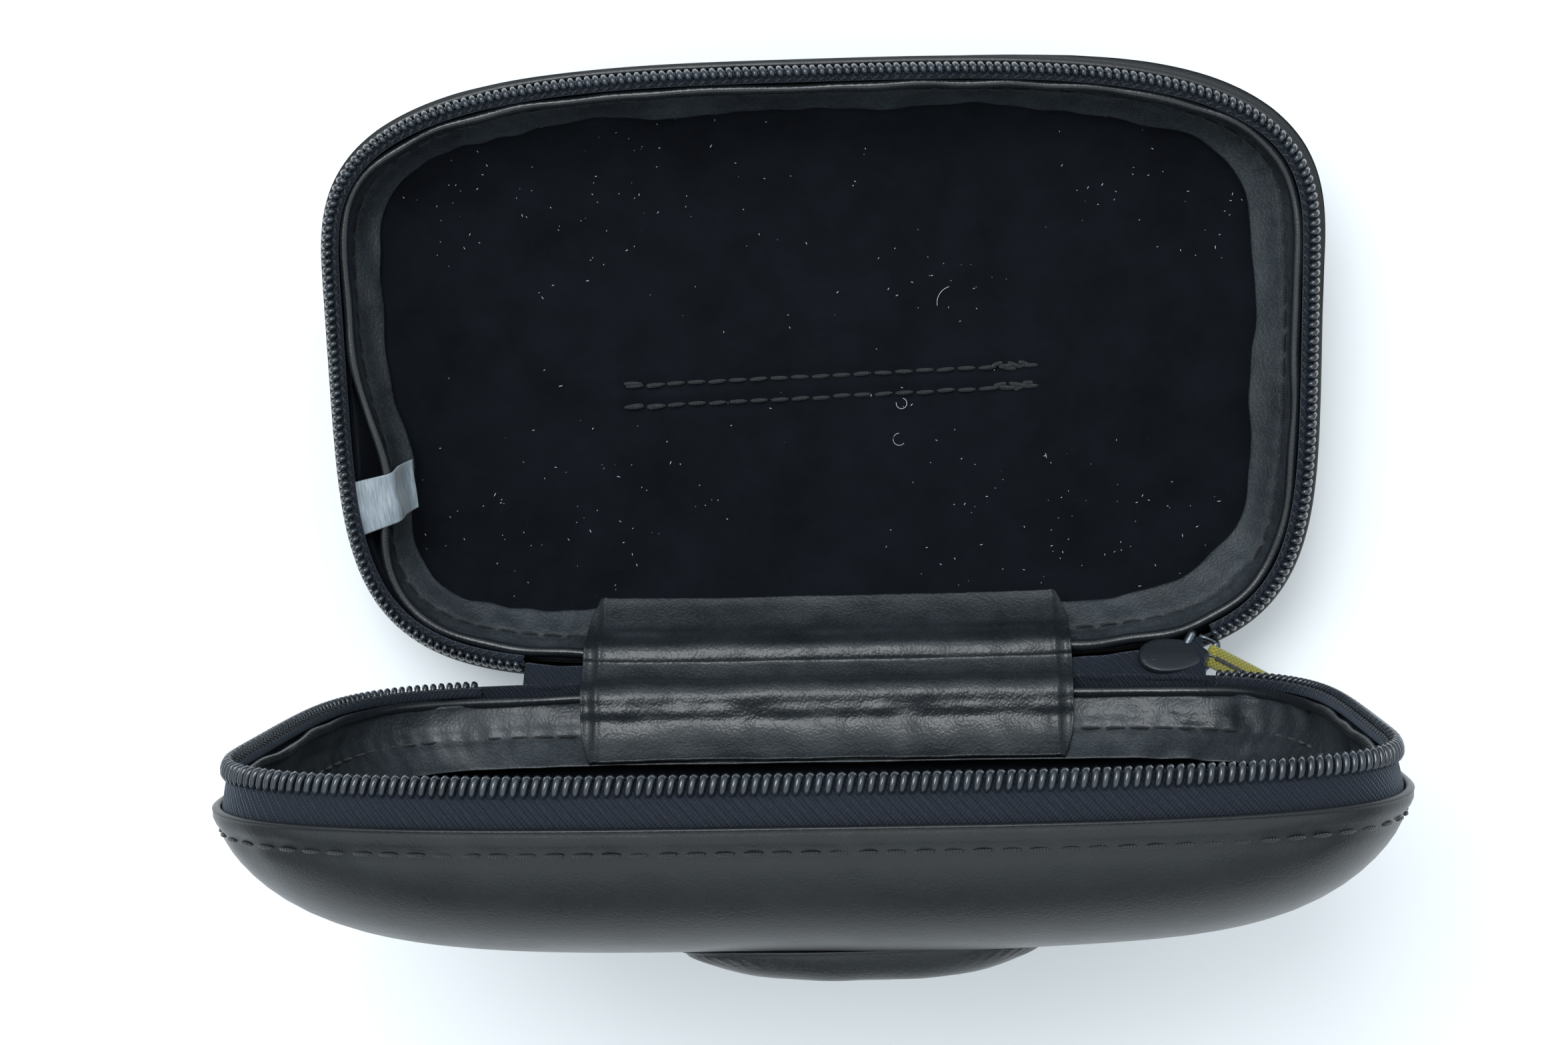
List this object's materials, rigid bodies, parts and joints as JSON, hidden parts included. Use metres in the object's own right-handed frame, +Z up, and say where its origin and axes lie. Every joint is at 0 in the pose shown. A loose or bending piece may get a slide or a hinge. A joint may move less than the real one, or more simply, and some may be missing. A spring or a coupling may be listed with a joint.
{
  "type": "zip-round clamshell spectacle case",
  "caption": "Moulded clamshell case for spectacles, shown empty and open, with a zip round three sides, velvet lining and a sewn hinge.",
  "frame": {"origin": "middle of the flat crown of the outer pad under the back half, which the case rests on", "axes": "+X along the hinge to the slider's end, +Y from the hinge to the back half's front edge, +Z up from the table"},
  "size_m": [0.1794, 0.1517, 0.1366],
  "materials": {
    "cover_leather": "black synthetic leather, fine grain, satin",
    "shell_board": "moulded fibre board, hidden",
    "velvet": "black velvet pile with pale lint",
    "facing_leather": "black synthetic leather, pebbled, semi-gloss",
    "zip_tape": "blue-black woven tape",
    "zip_teeth": "black nylon coil, glossy",
    "pad_leather": "black synthetic leather, satin",
    "thread": "black sewing thread",
    "tab_satin": "grey satin ribbon",
    "gunmetal": "dark gunmetal enamel",
    "olive_strap": "olive yellow woven cord"
  },
  "bodies": {
    "rear_half": {"rear_cover": "cover_leather", "rear_shell": "shell_board", "rear_lining": "velvet", "rear_facing": "facing_leather", "rear_welt": "facing_leather", "rear_tape": "zip_tape", "rear_teeth": "zip_teeth", "rear_pad": "pad_leather", "rear_rim_stitches": "thread", "rear_pad_stitches": "thread", "rear_hinge_patch": "facing_leather", "rear_spine": "cover_leather", "side_tab": "tab_satin"},
    "front_half": {"front_cover": "cover_leather", "front_shell": "shell_board", "front_lining": "velvet", "front_facing": "facing_leather", "front_welt": "facing_leather", "front_tape": "zip_tape", "front_teeth": "zip_teeth", "front_pad": "pad_leather", "front_rim_stitches": "thread", "front_pad_stitches": "thread", "front_hinge_patch": "facing_leather", "front_spine": "cover_leather"},
    "slider": {"slider_body": "gunmetal"},
    "puller": {"pull_link": "gunmetal", "pull_strap": "olive_strap", "pull_core": "thread"}
  },
  "joints": [
    {"name": "lid_hinge", "type": "hinge", "parent": "rear_half", "child": "front_half", "pos_m": [0, -0.05383, 0.0281], "axis": [1, 0, 0], "range_deg": [-88, 37]},
    {"name": "slider_run", "type": "slide", "parent": "rear_half", "child": "slider", "axis": [1, 0, 0], "range_m": [-0.004, 0.004]},
    {"name": "puller_swing", "type": "hinge", "parent": "slider", "child": "puller", "pos_m": [0.0686, -0.05193, 0.0275], "axis": [0.4695, 0.8829, 0], "range_deg": [-25, 20]}
  ]
}
